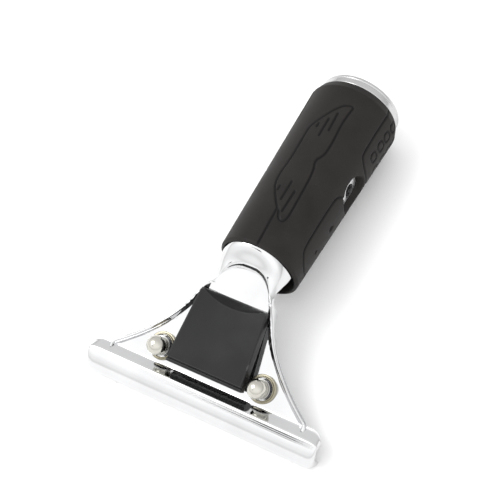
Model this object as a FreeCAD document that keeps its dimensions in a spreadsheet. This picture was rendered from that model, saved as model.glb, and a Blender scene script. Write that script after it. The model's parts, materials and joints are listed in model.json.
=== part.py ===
import FreeCAD, Part
import math
import os
import Sketcher
from FreeCAD import Placement, Rotation, Vector

# Quick-release window squeegee handle, millimetres.
# Row frame: the grip and its pole socket lie along +Y, +Z is up, the origin is the centre of the
# socket's mouth at the tail, and the stamped head points towards -Y.
# Head frame: origin on the crease between plate and lip, +Y up the plate towards the tail, +Z out
# of the plate. Head pieces are drawn in it and placed with head_place().

DIMENSIONS = [
    # name, value, meaning
    ("full_length", 88.0, "grip mouth to the tail end of the ring"),
    ("grip_length", 83.0, "rubber sleeve, mouth to tail"),
    ("grip_mouth_radius", 16.6, "outside of the rubber at the mouth"),
    ("grip_tail_radius", 19.2, "outside of the rubber near the tail"),
    ("grip_tail_chamfer", 3.6, "length of the bevel at the tail end"),
    ("grip_tail_drop", 1.3, "how much the bevel narrows the tail"),
    ("grip_edge", 0.5, "bevel of the mouth's outer edge"),
    ("window_centre", 45.5, "side window, from the mouth"),
    ("window_half", 7.0, "half width of the side window, and its end radius"),
    ("window_length", 16.0, "side window along the grip"),
    ("tube_radius", 15.2, "outside of the socket tube"),
    ("tube_wall", 1.2, "sheet of the socket tube"),
    ("tube_start", 10.0, "front end of the tube, from the mouth"),
    ("tube_end", 87.0, "tail end of the tube, from the mouth"),
    ("lock_radius", 3.0, "hole for the pole's spring button"),
    ("lock_centre", 46.5, "button hole, from the mouth"),
    ("ring_radius", 17.3, "outside of the rolled end ring"),
    ("ring_edge", 1.4, "rolled edge of the end ring"),
    ("bore_radius", 12.75, "pole socket"),
    ("bore_depth", 60.0, "pole socket, from the tail end"),
    ("liner_front", 4.5, "liner and plug in front of the bore's end"),
    ("plug_thick", 3.0, "plug that closes the socket"),
    ("plug_radius", 13.3, "plug and its seat in the liner"),
    ("head_tilt", 30.0, "degrees between plate and socket axis"),
    ("crease_ahead", 45.0, "crease in front of the grip mouth"),
    ("crease_drop", 17.0, "crease below the socket axis"),
    ("sheet", 1.5, "stainless sheet of the jaws"),
    ("crease_half", 43.0, "half width of the plate at the crease"),
    ("waist_half", 14.6, "half width of the plate at the neck"),
    ("flare_length", 45.0, "crease to the waist along the plate"),
    ("flare_power", 2.2, "sharpness of the flare"),
    ("rim_height", 1.7, "rim above the plate"),
    ("rim_width", 2.4, "rim seen from above"),
    ("skirt_depth", 4.2, "skirt below the plate"),
    ("arch_end", 46.0, "end of the flat plate under the neck's arch"),
    ("arch_power", 2.6, "roundness of the flat plate's end"),
    ("arch_begin", 26.0, "where the flat plate starts to close"),
    ("neck_radius", 15.0, "outside of the neck where it enters the grip"),
    ("leg_drop", 1.5, "neck legs below the socket axis, before they are trimmed"),
    ("leg_rise", 3.0, "trimmed lower edge of the neck's legs above the socket axis"),
    ("leg_inner", 12.5, "trimmed part of the legs from the middle"),
    ("lip_half", 50.0, "half width of the front lip"),
    ("lip_crest_along", 3.6, "crease to the lip's crest line"),
    ("lip_crest_rise", 2.9, "crest line above the plate"),
    ("lip_front", 14.0, "crease to the front of the lip"),
    ("lip_centre_drop", 4.0, "centre of the lip's roll below the plate"),
    ("lip_hem_drop", 6.4, "lower edge of the lip below the plate"),
    ("lip_corner", 3.6, "rounding of the lip's front corners"),
    ("lip_rear_corner", 5.0, "rounding of the lip's rear corners"),
    ("stud_across", 21.7, "clamp studs from the middle"),
    ("stud_along", 6.8, "clamp studs from the crease"),
    ("stud_radius", 1.5, "clamp stud shank"),
    ("stud_head_radius", 3.2, "flat head under the lower jaw"),
    ("stud_head_thick", 1.2, "flat head under the lower jaw"),
    ("jaw_top", 5.6, "top of the lower jaw below the plate's top"),
    ("jaw_half", 37.0, "largest half width of the lower jaw"),
    ("jaw_inset", 4.6, "lower jaw inside the plate's outline"),
    ("jaw_rear", 38.0, "rear edge of the lower jaw"),
    ("jaw_front", 9.6, "crease to the lower jaw's front edge"),
    ("stop_radius", 2.2, "stop on the lower jaw"),
    ("stop_across", 11.0, "stops from the middle"),
    ("stop_along", 22.0, "stops from the crease"),
    ("cup_flange_radius", 5.6, "flange of the spring cup"),
    ("cup_collar_radius", 4.9, "collar and barrel of the spring cup"),
    ("cup_bore_radius", 4.3, "inside of the spring cup"),
    ("cup_flange_top", 0.9, "flange above the plate"),
    ("cup_collar_top", 1.8, "collar above the plate"),
    ("cup_floor", 2.4, "spring seat below the plate's top"),
    ("cup_bottom", 3.1, "cup's underside below the plate's top"),
    ("running_gap", 0.06, "radial play of a sliding shank or pin"),
    ("spring_top", 2.8, "underside of the spring washer"),
    ("washer_radius", 4.0, "washer between spring and dome nut"),
    ("washer_top", 3.4, "top of that washer"),
    ("dome_radius", 3.85, "dome nut"),
    ("dome_neck_radius", 3.2, "waist under the dome"),
    ("dome_centre", 6.6, "centre of the dome above the plate"),
    ("spring_mid_radius", 2.9, "coil radius"),
    ("spring_wire", 0.35, "wire radius"),
    ("spring_turns", 3.5, "turns of the clamp spring"),
    ("pad_front", 3.0, "front wall of the release pad"),
    ("pad_rear", 33.6, "rear wall of the release pad"),
    ("pad_front_half", 16.3, "half width at the front"),
    ("pad_rear_half", 14.3, "half width at the rear"),
    ("pad_front_top", 7.9, "top at the front"),
    ("pad_rear_top", 4.3, "top at the rear"),
    ("pad_wall", 1.4, "moulded wall"),
    ("step_drop", 1.3, "front step's bevel and groove below the top"),
    ("step_rise", 0.8, "front step below the top"),
    ("step_start", 0.4, "front bevel's length"),
    ("groove_start", 1.2, "front step's length"),
    ("groove_end", 1.7, "far edge of the groove"),
    ("scoop_foot_radius", 22.0, "thumb scoop at the plate"),
    ("scoop_slope", 1.0, "widening of the scoop per millimetre of height"),
    ("pad_front_gap", 2.8, "front wall above the plate"),
    ("pad_rear_gap", 0.4, "rear wall above the plate"),
    ("pivot_along", 25.0, "pad pivot from the crease"),
    ("pivot_up", 1.8, "pad pivot above the plate"),
    ("pivot_radius", 1.0, "pad pivot pin"),
    ("pivot_half", 10.4, "half length of the pivot pin"),
    ("boss_along", 9.5, "pusher boss from the crease"),
    ("boss_radius", 3.0, "pusher boss"),
    ("contact_gap", 0.05, "play between boss and lower jaw at rest"),
    ("ear_across", 5.9, "pivot ears from the middle"),
    ("ear_thick", 1.4, "pivot ear sheet"),
    ("ear_half", 1.8, "half length of an ear"),
    ("ear_top", 3.1, "ear above the plate"),
    ("rib_across", 8.0, "pad's pivot ribs from the middle"),
    ("clip_across", 9.2, "inner face of a pin clip"),
    ("clip_thick", 0.6, "pin clip"),
    ("clip_radius", 1.5, "pin clip"),
    ("strip_half", 12.0, "half width of the tooth strip"),
    ("strip_front", 8.6, "front edge of the tooth strip"),
    ("strip_rear", 3.8, "rear edge of the tooth strip"),
    ("strip_thick", 0.9, "tooth strip"),
    ("tooth_height", 1.0, "tooth above the strip"),
    ("tooth_pitch", 4.0, "tooth to tooth"),
    ("tooth_half", 1.0, "half width of a tooth at its foot"),
    ("tooth_length", 1.2, "length of a tooth"),
    ("rivet_radius", 1.1, "rivets of the tooth strip"),
    ("rivet_across", 10.0, "rivets from the middle"),
    ("rivet_head_wider", 0.7, "rivet head beyond its shank"),
    ("rivet_head_thick", 0.6, "rivet head"),
]

SIDES = (("left", -1), ("right", 1))

doc = FreeCAD.newDocument("SqueegeeHandle")
sheet = doc.addObject("Spreadsheet::Sheet", "Sizes")
for row, (alias, number, meaning) in enumerate(DIMENSIONS, 1):
    sheet.set("A%d" % row, alias)
    sheet.set("B%d" % row, str(number))
    sheet.set("C%d" % row, meaning)
    sheet.setAlias("B%d" % row, alias)
doc.recompute()

finished = []


def size(alias):
    """Value of one spreadsheet cell."""
    return float(sheet.get(alias))


def amount(formula):
    """Value of a sum such as 'tube_radius - tube_wall'."""
    total, sign = 0.0, 1
    for word in formula.split():
        if word in "+-":
            sign = 1 if word == "+" else -1
        elif word[0].isdigit():
            total += sign * float(word)
        else:
            total += sign * size(word)
    return total


def cell_formula(formula):
    """The same sum written with the spreadsheet's name."""
    words = formula.split()
    return " ".join("Sizes." + word if word[0].isalpha() else word for word in words)


def bind(thing, **formulas):
    """Ties properties of a document object to the spreadsheet."""
    for name, formula in formulas.items():
        thing.setExpression(name, cell_formula(formula))
    return thing


def finish(thing, label):
    """Gives a finished sub-part its node name."""
    thing.Label = label
    finished.append(thing)
    return thing


def grip_place():
    """Placement of pieces drawn from the grip mouth towards the tail."""
    return Placement(Vector(0, -size("full_length"), 0), Rotation())


def head_place(across=0.0, along=0.0, up=0.0):
    """Placement of pieces drawn in the head frame."""
    crease = Vector(0, -size("full_length") - size("crease_ahead"), -size("crease_drop"))
    tilt = Rotation(Vector(1, 0, 0), size("head_tilt"))
    return Placement(crease + tilt.multVec(Vector(across, along, up)), tilt)


def origin_plane(body, role):
    """One of a body's own origin planes."""
    return [plane for plane in body.Origin.OriginFeatures if plane.Role == role][0]


def fix_corner(sketch, edge, direction, formula, axis):
    """Dimensions one coordinate of an edge's start, or keeps it on the axis."""
    if formula == "0":
        sketch.addConstraint(Sketcher.Constraint("PointOnObject", edge, 1, axis))
        return
    index = sketch.addConstraint(Sketcher.Constraint(direction, -1, 1, edge, 1, amount(formula)))
    sketch.setExpression("Constraints[%d]" % index, cell_formula(formula))


def turned(name, plane, corners):
    """Body of revolution; corners are (radius, along) sums, turned about the sketch's upright axis."""
    body = doc.addObject("PartDesign::Body", name)
    sketch = body.newObject("Sketcher::SketchObject", name + "_profile")
    sketch.AttachmentSupport = [(origin_plane(body, plane), "")]
    sketch.MapMode = "FlatFace"
    points = [Vector(amount(radius), amount(along), 0) for radius, along in corners]
    count = len(points)
    for edge in range(count):
        sketch.addGeometry(Part.LineSegment(points[edge], points[(edge + 1) % count]), False)
    for edge in range(count):
        sketch.addConstraint(Sketcher.Constraint("Coincident", edge, 2, (edge + 1) % count, 1))
    for edge, (radius, along) in enumerate(corners):
        fix_corner(sketch, edge, "DistanceX", radius, -2)
        fix_corner(sketch, edge, "DistanceY", along, -1)
    turn = body.newObject("PartDesign::Revolution", name + "_turn")
    turn.Profile = sketch
    turn.ReferenceAxis = (sketch, ["V_Axis"])
    turn.Angle = 360
    sketch.Visibility = False
    body.Tip = turn
    return body


def cross_cylinder(name, radius, along):
    """Cylinder through the grip from side to side, for holes in it."""
    tool = bind(doc.addObject("Part::Cylinder", name), Radius=radius)
    tool.Height = 60
    middle = Vector(-30, amount(along) - size("full_length"), 0)
    tool.Placement = Placement(middle, Rotation(Vector(0, 1, 0), 90))
    return tool


def cut(name, base, tool):
    """Boolean difference of two document objects."""
    result = doc.addObject("Part::Cut", name)
    result.Base = base
    result.Tool = tool
    return result


def placed(shape, placement):
    """Copy of a shape moved from a drawing frame to the row frame."""
    moved = shape.copy()
    moved.Placement = placement.multiply(shape.Placement)
    return moved


def shaped(label, shape, placement):
    """Sub-part whose shape is made by the functions below from the spreadsheet."""
    thing = doc.addObject("Part::Feature", label)
    thing.Shape = shape
    thing.Placement = placement.multiply(shape.Placement)
    return finish(thing, label)


def box(low, high):
    """Box between two corners."""
    low, high = Vector(*low), Vector(*high)
    span = high - low
    return Part.makeBox(span.x, span.y, span.z, low)


def post(radius, low, high, across=0.0, along=0.0):
    """Upright cylinder in the head frame."""
    return Part.makeCylinder(radius, high - low, Vector(across, along, low))


def prism(outline, low, high):
    """Solid over a closed plan outline, a list of edges or points."""
    if isinstance(outline[0], Vector):
        wire = Part.makePolygon(outline + [outline[0]])
    else:
        wire = Part.Wire(outline)
    solid = Part.Face(wire).extrude(Vector(0, 0, high - low))
    return solid.translated(Vector(0, 0, low))


# ---------------------------------------------------------------- socket tube and grip


def build_socket_tube():
    """Steel tube that takes the pole, with a button hole on each side."""
    inner = "tube_radius - tube_wall"
    corners = [(inner, "tube_start"), ("tube_radius", "tube_start"),
               ("tube_radius", "tube_end"), (inner, "tube_end")]
    blank = turned("tube_blank", "XY_Plane", corners)
    blank.Placement = grip_place()
    hole = cross_cylinder("tube_hole", "lock_radius", "lock_centre")
    finish(cut("tube_cut", blank, hole), "socket_tube")


def build_socket_liner():
    """Nylon liner that guides the pole tip, with a wider seat for the plug at its front."""
    front = "full_length - bore_depth - liner_front"
    seat = "full_length - bore_depth"
    outer = "tube_radius - tube_wall"
    corners = [("plug_radius", front), (outer, front), (outer, "tube_end"), ("bore_radius", "tube_end"),
               ("bore_radius", seat), ("plug_radius", seat)]
    blank = turned("liner_blank", "XY_Plane", corners)
    blank.Placement = grip_place()
    hole = cross_cylinder("liner_hole", "lock_radius", "lock_centre")
    finish(cut("liner_cut", blank, hole), "socket_liner")


def build_liner_plug():
    """Plug that closes the front of the socket."""
    near = "full_length - bore_depth - plug_thick"
    far = "full_length - bore_depth"
    corners = [("0", near), ("plug_radius", near), ("plug_radius", far), ("0", far)]
    plug = turned("plug", "XY_Plane", corners)
    plug.Placement = grip_place()
    finish(plug, "liner_plug")


def build_end_ring():
    """Rolled metal ring that closes the tail and holds tube and liner."""
    corners = [("tube_radius", "grip_length"), ("ring_radius - 0.3", "grip_length"),
               ("ring_radius", "grip_length + 0.3"), ("ring_radius", "full_length - ring_edge"),
               ("ring_radius - 0.4", "full_length - 0.4"), ("ring_radius - ring_edge", "full_length"),
               ("bore_radius", "full_length"), ("bore_radius", "tube_end"), ("tube_radius", "tube_end")]
    ring = turned("ring", "XY_Plane", corners)
    ring.Placement = grip_place()
    finish(ring, "end_ring")


def build_rubber_grip():
    """Rubber sleeve with a finger window on each side for the pole's button."""
    corners = [("tube_radius", "0"), ("grip_mouth_radius - grip_edge", "0"),
               ("grip_mouth_radius", "grip_edge"),
               ("grip_tail_radius", "grip_length - grip_tail_chamfer"),
               ("grip_tail_radius - grip_tail_drop", "grip_length"), ("tube_radius", "grip_length")]
    blank = turned("grip_blank", "XY_Plane", corners)
    blank.Placement = grip_place()
    ends = []
    half_run = size("window_length") / 2 - size("window_half")
    for name, shift in (("front", -half_run), ("rear", half_run)):
        end = cross_cylinder("window_" + name, "window_half", "window_centre")
        end.Placement.Base = end.Placement.Base + Vector(0, shift, 0)
        ends.append(end)
    middle = bind(doc.addObject("Part::Box", "window_middle"), Height="window_half + window_half",
                  Width="window_length - window_half - window_half")
    middle.Length = 60
    along = size("window_centre") - size("full_length") - half_run
    middle.Placement.Base = Vector(-30, along, -size("window_half"))
    window = doc.addObject("Part::MultiFuse", "window")
    window.Shapes = ends + [middle]
    finish(cut("grip_cut", blank, window), "rubber_grip")


# ---------------------------------------------------------------- stamped upper jaw


def flare_half(along):
    """Half width of the plate at a distance up from the crease."""
    rest = max(0.0, 1 - along / size("flare_length"))
    spread = size("crease_half") - size("waist_half")
    return size("waist_half") + spread * rest ** size("flare_power")


def flat_half(along):
    """Half width of the flat plate inside the rims, closing to an arch under the neck."""
    half = flare_half(along) - size("rim_width")
    into = (along - size("arch_begin")) / (size("arch_end") - size("arch_begin"))
    if into <= 0:
        return half
    power = size("arch_power")
    return half * max(0.0, 1 - min(into, 1.0) ** power) ** (1 / power)


def smooth(low, high, number):
    """0 below low, 1 above high, smooth in between."""
    part = min(1.0, max(0.0, (number - low) / (high - low)))
    return part * part * (3 - 2 * part)


def section(along, inset):
    """Upright section of the stamping at a row-frame distance behind the crease."""
    slope = math.tan(math.radians(size("head_tilt")))
    lean = math.cos(math.radians(size("head_tilt")))
    reach = size("crease_ahead")
    plate = along * slope - size("crease_drop")
    to_neck = smooth(reach - 11, reach, along)
    half = flare_half(along / lean) * (1 - to_neck) + size("neck_radius") * to_neck - inset
    rim = plate + size("rim_height") / lean
    top = rim * (1 - to_neck) + size("neck_radius") * to_neck - inset
    skirt = plate - size("skirt_depth") / lean
    bottom = skirt * (1 - to_neck) - size("leg_drop") * to_neck
    if inset:
        bottom -= 3
    rounding = smooth(reach - 20, reach, along)
    corner = (1.9 if not inset else 0.7) * (1 - rounding) + (half - 0.4) * rounding
    corner_up = corner * (1 - rounding) + (size("neck_radius") - inset) * rounding
    level = along - reach - size("full_length")
    return half, top, bottom, corner, corner_up, level


def section_wire(along, inset):
    """Closed wire of that section: side, corner, top, corner, side, bottom."""
    half, top, bottom, corner, corner_up, level = section(along, inset)
    edges = []
    right_side = Vector(half, level, top - corner_up)
    left_side = Vector(-half, level, top - corner_up)
    edges.append(Part.LineSegment(Vector(half, level, bottom), right_side).toShape())
    edges.append(corner_edge(half - corner, top - corner_up, corner, corner_up, level, 1))
    edges.append(Part.LineSegment(Vector(half - corner, level, top),
                                  Vector(corner - half, level, top)).toShape())
    edges.append(corner_edge(half - corner, top - corner_up, corner, corner_up, level, -1))
    edges.append(Part.LineSegment(left_side, Vector(-half, level, bottom)).toShape())
    edges.append(Part.LineSegment(Vector(-half, level, bottom), Vector(half, level, bottom)).toShape())
    return Part.Wire(edges)


def corner_edge(across, up, wide, tall, level, side):
    """Quarter ellipse that rounds one upper corner of a section."""
    points = []
    steps = 8
    for step in range(steps + 1):
        turn = math.pi / 2 * step / steps
        if side < 0:
            turn = math.pi / 2 - turn
        points.append(Vector(side * (across + wide * math.cos(turn)), level, up + tall * math.sin(turn)))
    curve = Part.BSplineCurve()
    curve.interpolate(points)
    return curve.toShape()


def envelope(inset):
    """Solid inside the stamping's outside, or inside its inner side when inset by the sheet."""
    mouth = size("crease_ahead")
    stations = [0, 3, 6, 10, 14, 19, 24, 29, 34, 37, 40, 42.5, mouth, mouth + size("tube_start") / 2]
    stations.append(mouth + size("tube_start"))
    if inset:
        stations[0] -= 1
        stations[-1] += 1
    return Part.makeLoft([section_wire(along, inset) for along in stations], True, True)


def plan_outline(grow):
    """Closed outline of the flat plate inside the rims, grown by a distance."""
    end = size("arch_end")
    stations = [end * (1 - (1 - step / 22) ** 1.6) for step in range(23)]
    side = [Vector(flat_half(along) + grow, along + grow * smooth(end * 0.6, end, along), 0)
            for along in stations[:-1]]
    side.append(Vector(0, end + grow, 0))
    start = Vector(side[0].x, -2, 0)
    mirrored = [Vector(-point.x, point.y, 0) for point in reversed(side[:-1])]
    curve = Part.BSplineCurve()
    curve.interpolate(side + mirrored)
    stop = Vector(-start.x, start.y, 0)
    return [Part.LineSegment(start, side[0]).toShape(), curve.toShape(),
            Part.LineSegment(mirrored[-1], stop).toShape(), Part.LineSegment(stop, start).toShape()]


def leg_trims():
    """Two blocks that take the lower edges off the neck's legs, rising from the skirts to the mouth."""
    edge = size("leg_rise")
    behind = size("crease_ahead") + size("tube_start") + 2
    line = [(30.5, -6), (32, edge - 2.4), (36, edge - 0.8), (40, edge), (behind, edge), (behind, -6)]
    trims = []
    for _, side in SIDES:
        start = size("leg_inner") if side > 0 else -size("neck_radius") - 5
        corners = [Vector(start, along - size("crease_ahead") - size("full_length"), up)
                   for along, up in line]
        face = Part.Face(Part.makePolygon(corners + [corners[0]]))
        trims.append(face.extrude(Vector(size("neck_radius") + 5 - size("leg_inner"), 0, 0)))
    return trims


def lip_curve(inset):
    """Edges of the lip's section from the plate over the crest to the hem, inset by the sheet."""
    crest = Vector(0, -size("lip_crest_along"), size("lip_crest_rise") - inset * 1.15)
    centre_up = -size("lip_centre_drop")
    wide = size("lip_front") - size("lip_crest_along") - 0.8 - inset
    centre = -size("lip_front") + inset + wide
    tall = crest.z - centre_up
    start = Vector(0, 0.9, -inset)
    foot = Vector(0, -0.1 - inset * 0.2, -inset)
    points = [Vector(0, centre - wide * math.sin(turn), centre_up + tall * math.cos(turn))
              for turn in [math.pi / 2 * step / 10 for step in range(1, 11)]]
    curve = Part.BSplineCurve()
    curve.interpolate([crest] + points)
    hem = Vector(0, points[-1].y, -size("lip_hem_drop"))
    return [Part.LineSegment(start, foot).toShape(), Part.LineSegment(foot, crest).toShape(),
            curve.toShape(), Part.LineSegment(points[-1], hem).toShape()], start, hem


def build_lip():
    """Rolled front lip, in the head frame."""
    outer, outer_start, outer_hem = lip_curve(0.0)
    inner, inner_start, inner_hem = lip_curve(size("sheet"))
    ends = [Part.LineSegment(outer_hem, inner_hem).toShape(),
            Part.LineSegment(inner_start, outer_start).toShape()]
    face = Part.Face(Part.Wire(Part.sortEdges(outer + inner + ends)[0]))
    half = size("lip_half")
    lip = face.extrude(Vector(2 * half, 0, 0)).translated(Vector(-half, 0, 0))
    plan = box((-half, -size("lip_front"), -20), (half, 1.2, 20))
    upright = [edge for edge in plan.Edges if abs(edge.tangentAt(edge.FirstParameter).z) > 0.9]
    front = [edge for edge in upright if edge.CenterOfMass.y < -5]
    plan = plan.makeFillet(size("lip_corner"), front)
    rear = [edge for edge in plan.Edges if abs(edge.CenterOfMass.y - 1.2) < 0.01
            and abs(edge.tangentAt(edge.FirstParameter).z) > 0.9]
    plan = plan.makeFillet(size("lip_rear_corner"), rear)
    return lip.common(plan)


def stud_posts(radius, low, high):
    """One upright cylinder on each clamp stud's axis."""
    across, along = size("stud_across"), size("stud_along")
    return [post(radius, low, high, side * across, along) for _, side in SIDES]


def build_upper_jaw():
    """Stainless stamping: neck, flat plate with rims and skirts, and the rolled lip."""
    place = head_place()
    thick = size("sheet")
    inside = envelope(thick)
    roof = placed(prism(plan_outline(thick * 0.8), -thick, 30), place)
    recess = placed(prism(plan_outline(0.0), 0.0, 30), place)
    shell = envelope(0.0).cut(inside.cut(roof)).cut(recess)
    for trim in leg_trims():
        shell = shell.cut(trim)
    jaw = shell.fuse(placed(build_lip(), place))
    holes = stud_posts(size("cup_collar_radius"), -10, 10)
    holes.append(post(size("boss_radius") + 0.8, -10, 10, 0, size("boss_along") + 0.3))
    for hole in holes:
        jaw = jaw.cut(placed(hole, place))
    shaped("upper_jaw", jaw, Placement())


# ---------------------------------------------------------------- lower jaw and its clamp


def build_lower_jaw():
    """Flat clamp plate under the stamping, with two stops that meet the plate's underside."""
    top = -size("jaw_top")
    bottom = top - size("sheet")
    front = -size("jaw_front")
    stations = [front, 0, 3, 6, 10, 15, 20, 26, 32, size("jaw_rear")]
    side = [Vector(min(flare_half(max(along, 0)) - size("jaw_inset"), size("jaw_half")), along, 0)
            for along in stations]
    outline = side + [Vector(-point.x, point.y, 0) for point in reversed(side)]
    jaw = prism(outline, bottom, top)
    stop_top = -size("sheet") - size("contact_gap")
    for _, direction in SIDES:
        across = direction * size("stop_across")
        jaw = jaw.fuse(post(size("stop_radius"), top, stop_top, across, size("stop_along")))
    for shank in stud_posts(size("stud_radius"), bottom, top):
        jaw = jaw.cut(shank)
    for rivet in rivet_posts(bottom, top):
        jaw = jaw.cut(rivet)
    shaped("lower_jaw", jaw, head_place())


def rivet_posts(low, high, wider=0.0):
    """The tooth strip's two rivets, between two heights."""
    along = -(size("strip_front") + size("strip_rear")) / 2
    radius = size("rivet_radius") + wider
    return [post(radius, low, high, side * size("rivet_across"), along) for _, side in SIDES]


def build_tooth_strip():
    """Hardened strip with a row of teeth that bite into the blade channel."""
    low = -size("jaw_top")
    high = low + size("strip_thick")
    half, front, rear = size("strip_half"), -size("strip_front"), -size("strip_rear")
    strip = box((-half, front, low), (half, rear, high))
    for rivet in rivet_posts(low, high):
        strip = strip.cut(rivet)
    foot = size("tooth_half")
    for place in range(-2, 3):
        middle = place * size("tooth_pitch")
        corners = [Vector(middle - foot, front, high), Vector(middle + foot, front, high),
                   Vector(middle, front, high + size("tooth_height"))]
        wire = Part.makePolygon(corners + [corners[0]])
        strip = strip.fuse(Part.Face(wire).extrude(Vector(0, size("tooth_length"), 0)))
    shaped("tooth_strip", strip, head_place())


def build_tooth_rivets():
    """Rivets that hold the tooth strip on the lower jaw."""
    low = -size("jaw_top") - size("sheet")
    high = -size("jaw_top") + size("strip_thick")
    heads = rivet_posts(low - size("rivet_head_thick"), low, size("rivet_head_wider"))
    pairs = [shank.fuse(head) for shank, head in zip(rivet_posts(low, high), heads)]
    shaped("tooth_rivets", Part.makeCompound(pairs), head_place())


def at_stud(body, side):
    """Moves a piece drawn about the Z axis to one clamp stud."""
    body.Placement = head_place(side * size("stud_across"), size("stud_along"), 0)


def build_clamp_set(name, side):
    """Cup, spring, washer, stud and dome nut of one side."""
    shank_hole = "stud_radius + running_gap"
    cup = turned("cup_" + name, "XZ_Plane", [
        (shank_hole, "0 - cup_bottom"), ("cup_collar_radius", "0 - cup_bottom"),
        ("cup_collar_radius", "0"), ("cup_flange_radius", "0"),
        ("cup_flange_radius", "cup_flange_top"), ("cup_collar_radius", "cup_flange_top"),
        ("cup_collar_radius", "cup_collar_top"), ("cup_bore_radius", "cup_collar_top"),
        ("cup_bore_radius", "0 - cup_floor"), (shank_hole, "0 - cup_floor")])
    at_stud(cup, side)
    finish(cup, "spring_cup_" + name)
    washer = turned("washer_" + name, "XZ_Plane", [
        ("stud_radius", "spring_top"), ("washer_radius", "spring_top"),
        ("washer_radius", "washer_top"), ("stud_radius", "washer_top")])
    at_stud(washer, side)
    finish(washer, "spring_washer_" + name)
    stud = turned("stud_" + name, "XZ_Plane", [
        ("0", "0 - jaw_top - sheet - stud_head_thick"),
        ("stud_head_radius", "0 - jaw_top - sheet - stud_head_thick"),
        ("stud_head_radius", "0 - jaw_top - sheet"), ("stud_radius", "0 - jaw_top - sheet"),
        ("stud_radius", "dome_centre"), ("0", "dome_centre")])
    at_stud(stud, side)
    finish(stud, "clamp_stud_" + name)
    build_dome_nut(name, side)
    spring = coil(size("spring_mid_radius"), size("spring_wire"), size("spring_turns"),
                  -size("cup_floor"), size("spring_top"))
    shaped("clamp_spring_" + name, spring, head_place(side * size("stud_across"), size("stud_along"), 0))


def build_dome_nut(name, side):
    """Dome nut: round base, waist and ball, threaded on the stud."""
    place = head_place(side * size("stud_across"), size("stud_along"), 0)
    ball = bind(doc.addObject("Part::Sphere", "ball_" + name), Radius="dome_radius")
    ball.Placement = place.multiply(Placement(Vector(0, 0, size("dome_centre")), Rotation()))
    base = bind(doc.addObject("Part::Cylinder", "nut_base_" + name), Radius="dome_neck_radius")
    base.setExpression("Height", "Sizes.dome_centre - Sizes.washer_top")
    base.Placement = place.multiply(Placement(Vector(0, 0, size("washer_top")), Rotation()))
    whole = doc.addObject("Part::MultiFuse", "nut_blank_" + name)
    whole.Shapes = [ball, base]
    thread = bind(doc.addObject("Part::Cylinder", "nut_hole_" + name),
                  Radius="stud_radius", Height="dome_centre")
    foot = bind(doc.addObject("Part::Cylinder", "nut_foot_" + name),
                Radius="dome_radius", Height="washer_top")
    thread.Placement = place
    foot.Placement = place
    tool = doc.addObject("Part::MultiFuse", "nut_tool_" + name)
    tool.Shapes = [thread, foot]
    finish(cut("nut_cut_" + name, whole, tool), "dome_nut_" + name)


def coil(radius, wire, turns, low, high):
    """Compression spring between two heights."""
    start = low + wire + 0.02
    rise = high - low - 2 * wire - 0.04
    helix = Part.makeHelix(rise / turns, rise, radius)
    ring = Part.Wire(Part.makeCircle(wire, Vector(radius, 0, 0), Vector(0, 1, 0)))
    spring = Part.Wire(helix).makePipeShell([ring], True, True)
    return spring.translated(Vector(0, 0, start))


# ---------------------------------------------------------------- release pad and its pivot


def pad_half(along):
    """Half width of the pad at a distance from the crease."""
    part = (along - size("pad_front")) / (size("pad_rear") - size("pad_front"))
    return size("pad_front_half") + (size("pad_rear_half") - size("pad_front_half")) * part


def pad_plan(inset, low, high):
    """Tapered block with the pad's plan outline."""
    front, rear = size("pad_front") + inset, size("pad_rear") - inset
    near, far = pad_half(front) - inset, pad_half(rear) - inset
    corners = [Vector(-near, front, 0), Vector(near, front, 0), Vector(far, rear, 0), Vector(-far, rear, 0)]
    return prism(corners, low, high)


def pad_top(along):
    """Height of the pad's sloping top."""
    part = (along - size("pad_front")) / (size("pad_rear") - size("pad_front"))
    return size("pad_front_top") + (size("pad_rear_top") - size("pad_front_top")) * part


def side_slab(points):
    """Slab across the pad from points given as (along, up)."""
    half = size("pad_front_half") + 4
    corners = [Vector(-half, along, up) for along, up in points]
    return Part.Face(Part.makePolygon(corners + [corners[0]])).extrude(Vector(2 * half, 0, 0))


def pad_outside():
    """Outer form of the pad: sloping top, front step with a groove, thumb scoop at the rear."""
    front, rear = size("pad_front"), size("pad_rear")
    high, low = size("pad_front_top"), size("pad_rear_top")
    groove = high - size("step_drop")
    step = high - size("step_rise")
    slab = side_slab([(front, size("pad_front_gap")), (front, groove),
                      (front + size("step_start"), step - 0.1), (front + size("groove_start"), step),
                      (front + size("groove_start") + 0.1, groove), (front + size("groove_end"), groove),
                      (front + size("groove_end") + 0.2, high), (rear, low), (rear, size("pad_rear_gap")),
                      (size("pivot_along"), size("pad_rear_gap"))])
    block = pad_plan(0.0, 0, 12).common(slab)
    foot, flare = size("scoop_foot_radius"), size("scoop_slope")
    scoop = Part.makeCone(foot, foot + flare * high, high, Vector(0, rear + foot + 0.6 * flare, 0))
    return block.cut(scoop)


def rim_clearance():
    """Room around the plate's rims, under the pad's rear corners."""
    front, rear, up = size("pad_front") - 1, size("pad_rear") + 1, size("rim_height") + 0.5
    room = box((-20, front, 0), (20, rear, up))
    return room.cut(prism(plan_outline(-0.5), -1, up + 1))


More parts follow.
